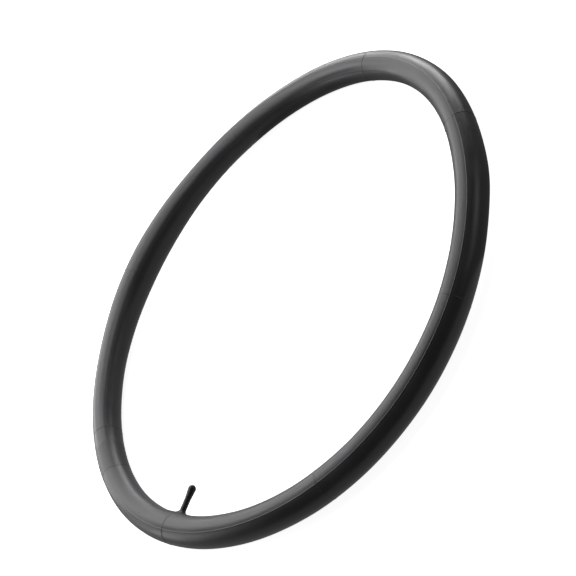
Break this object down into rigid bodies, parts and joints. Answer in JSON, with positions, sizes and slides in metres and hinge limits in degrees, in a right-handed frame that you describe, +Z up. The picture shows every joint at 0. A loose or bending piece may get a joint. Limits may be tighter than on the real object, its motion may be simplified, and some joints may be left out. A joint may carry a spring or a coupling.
{
  "type": "inner tube",
  "caption": "Inflated bicycle inner tube lying flat: a slim hollow rubber ring with a rubber-covered car-type valve inside it, a screw cap and a spring-loaded core.",
  "frame": {"origin": "On the surface the ring lies on, under the centre of its bounding box.", "axes": "+Z up, along the ring's axis. The valve stands on the ring's inner side at -Y and points along +Y, towards the middle. +X completes the right-handed frame."},
  "size_m": [0.6971, 0.7075, 0.0499],
  "materials": {
    "tube_rubber": "satin butyl rubber with a faint bloom",
    "valve_rubber": "satin moulded rubber",
    "cap_plastic": "satin moulded plastic",
    "brass": "machined brass",
    "spring_steel": "bright wire",
    "seal_rubber": "matt rubber",
    "gasket_red": "matt rubber"
  },
  "bodies": {
    "tube": {"air_tube": "tube_rubber", "valve_patch": "valve_rubber", "valve_stem_cover": "valve_rubber", "stem_insert": "brass", "core_plug": "brass", "core_barrel": "brass", "core_gasket": "gasket_red", "core_spring": "spring_steel"},
    "plunger": {"core_pin": "brass", "plunger_cup": "brass", "plunger_seal": "seal_rubber"},
    "cap_washer": {"cap_seal": "seal_rubber"},
    "cap": {"valve_cap": "cap_plastic"}
  },
  "joints": [
    {"name": "pin_press", "type": "slide", "parent": "tube", "child": "plunger", "axis": [0, -1, 0], "range_m": [0, 0.0013], "stiffness_N_per_m": 800, "springref_m": -0.002, "deforming": ["core_spring"]},
    {"name": "cap_lift", "type": "slide", "parent": "tube", "child": "cap_washer", "axis": [0, 1, 0], "range_m": [0, 0.01111]},
    {"name": "cap_turn", "type": "hinge", "parent": "cap_washer", "child": "cap", "pos_m": [0, -0.29, 0.02185], "axis": [0, 1, 0], "range_deg": [0, 5041]}
  ],
  "couplings": [
    {"joint": "cap_turn", "follows": "cap_lift", "rad_per_m": 7915.8}
  ]
}
